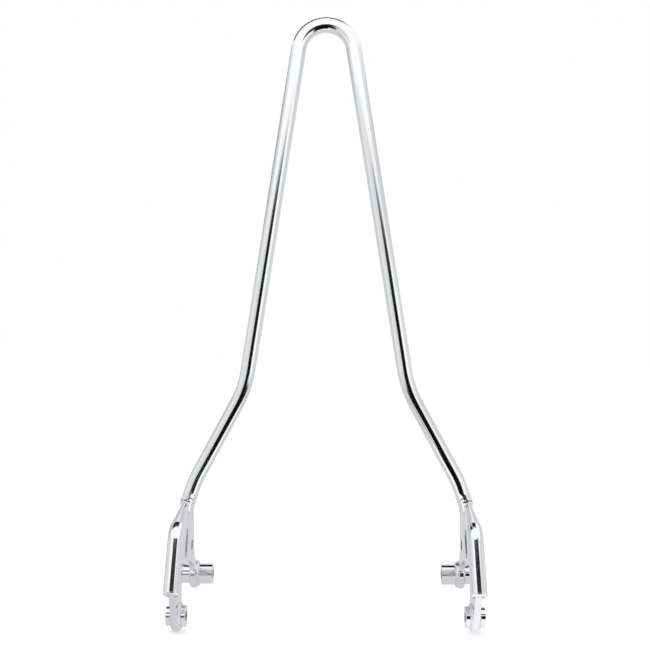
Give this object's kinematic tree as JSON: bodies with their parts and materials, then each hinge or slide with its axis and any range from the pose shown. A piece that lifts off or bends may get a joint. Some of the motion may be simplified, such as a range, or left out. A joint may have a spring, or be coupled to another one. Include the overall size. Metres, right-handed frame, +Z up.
{
  "type": "motorbike sissy bar",
  "caption": "Chromed motorbike sissy bar: a tall narrow hoop of round bar that splays out to welded side brackets with docking sleeves for the fender strut bolts.",
  "frame": {"origin": "midway between the left and right rear docking sleeve, on their common axis", "axes": "+X to the right of someone behind the bike, along the docking axes; +Y to the front of the bike; +Z up"},
  "size_m": [0.3206, 0.1777, 0.6243],
  "materials": {
    "bar_chrome": "mirror-bright chrome plate on polished round bar",
    "plate_chrome": "chrome plate on flat steel, slightly less polished",
    "sleeve_chrome": "chrome plate on turned steel",
    "weld_chrome": "chrome plate over weld beads"
  },
  "bodies": {
    "root": {"hoop": "bar_chrome", "left_plate": "plate_chrome", "left_rail": "bar_chrome", "left_front_sleeve": "sleeve_chrome", "left_rear_sleeve": "sleeve_chrome", "left_front_weld_inner": "weld_chrome", "left_front_weld_outer": "weld_chrome", "left_rear_weld_inner": "weld_chrome", "left_rear_weld_outer": "weld_chrome", "left_rail_weld_inner": "weld_chrome", "left_rail_weld_outer": "weld_chrome", "left_hoop_weld": "weld_chrome", "right_plate": "plate_chrome", "right_rail": "bar_chrome", "right_front_sleeve": "sleeve_chrome", "right_rear_sleeve": "sleeve_chrome", "right_front_weld_inner": "weld_chrome", "right_front_weld_outer": "weld_chrome", "right_rear_weld_inner": "weld_chrome", "right_rear_weld_outer": "weld_chrome", "right_rail_weld_inner": "weld_chrome", "right_rail_weld_outer": "weld_chrome", "right_hoop_weld": "weld_chrome"}
  },
  "joints": []
}
